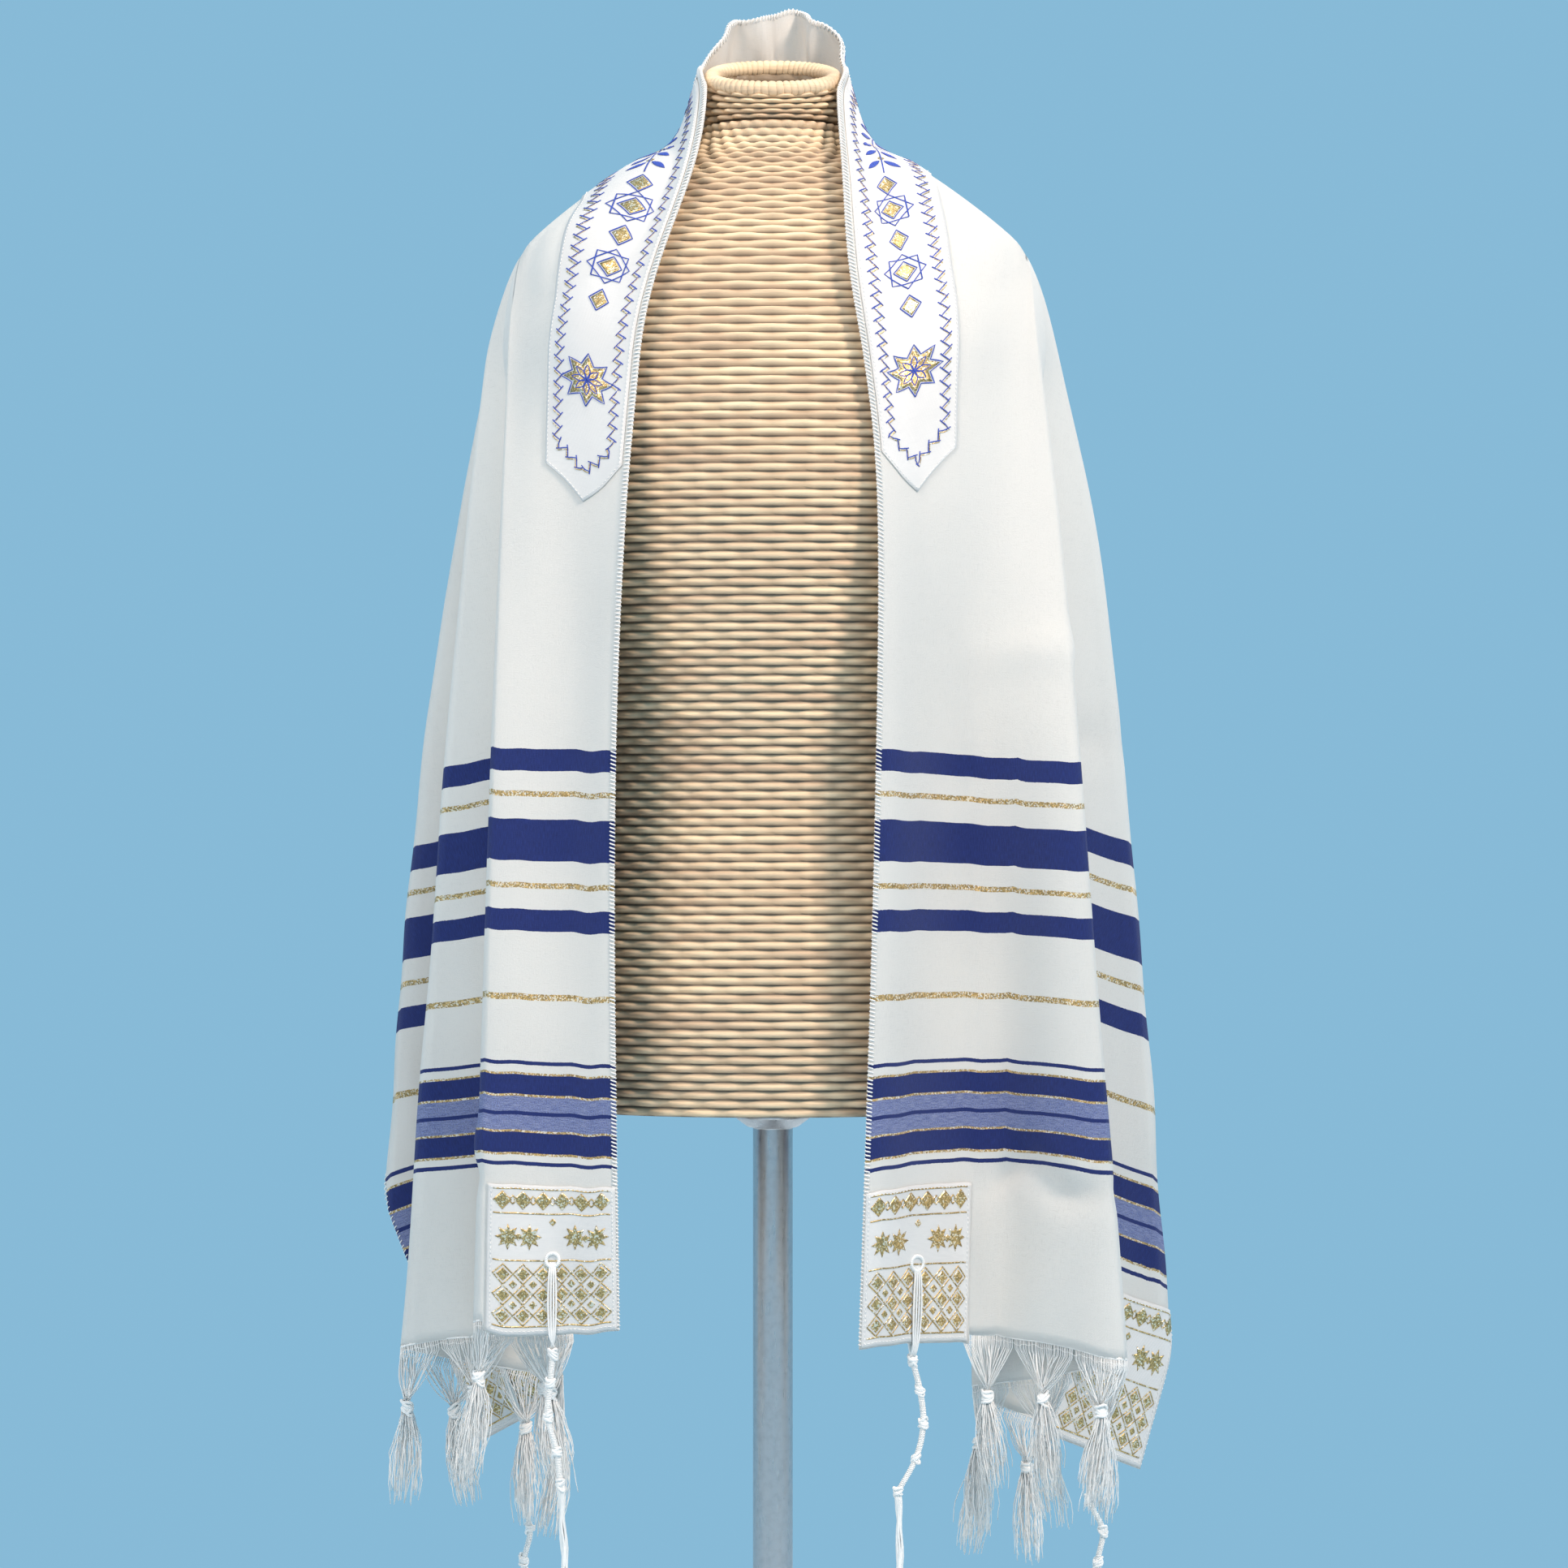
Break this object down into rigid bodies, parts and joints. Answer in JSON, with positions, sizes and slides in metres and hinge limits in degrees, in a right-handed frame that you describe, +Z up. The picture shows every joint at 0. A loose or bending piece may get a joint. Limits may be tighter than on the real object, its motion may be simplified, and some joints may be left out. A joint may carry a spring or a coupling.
{
  "type": "tallit prayer shawl on a wicker dress form",
  "caption": "Short striped prayer shawl with satin neck band, corner patches, knotted fringe and corner tassels, draped over a limbless wicker dress form on a round stand.",
  "frame": {"origin": "on the floor under the form's axis, at the middle of the base's underside", "axes": "+Z up, the open front faces -Y, +X is to the viewer's right"},
  "size_m": [0.4975, 0.33, 1.4501],
  "materials": {
    "wool_cloth": "plain-woven wool with blue, pale blue and gold thread stripes",
    "satin": "soft satin with gold and blue embroidery",
    "wool_string": "twisted off-white wool yarn",
    "rattan": "woven peeled rattan, satin varnish",
    "pole": "satin steel tube",
    "base": "dark powder coat"
  },
  "bodies": {
    "root": {"corner_cord_back_left": "wool_string", "corner_cord_back_right": "wool_string", "corner_cord_front_left": "wool_string", "corner_cord_front_right": "wool_string", "corner_patch_back_left": "satin", "corner_patch_back_right": "satin", "corner_patch_front_left": "satin", "corner_patch_front_right": "satin", "form_neck": "rattan", "form_neck_rim": "rattan", "form_torso": "rattan", "fringe_left_1": "wool_string", "fringe_left_2": "wool_string", "fringe_left_3": "wool_string", "fringe_left_4": "wool_string", "fringe_left_5": "wool_string", "fringe_left_6": "wool_string", "fringe_left_7": "wool_string", "fringe_left_8": "wool_string", "fringe_right_1": "wool_string", "fringe_right_2": "wool_string", "fringe_right_3": "wool_string", "fringe_right_4": "wool_string", "fringe_right_5": "wool_string", "fringe_right_6": "wool_string", "fringe_right_7": "wool_string", "fringe_right_8": "wool_string", "neck_band": "satin", "shawl_body": "wool_cloth", "stand_base": "base", "stand_pole": "pole"}
  },
  "joints": []
}
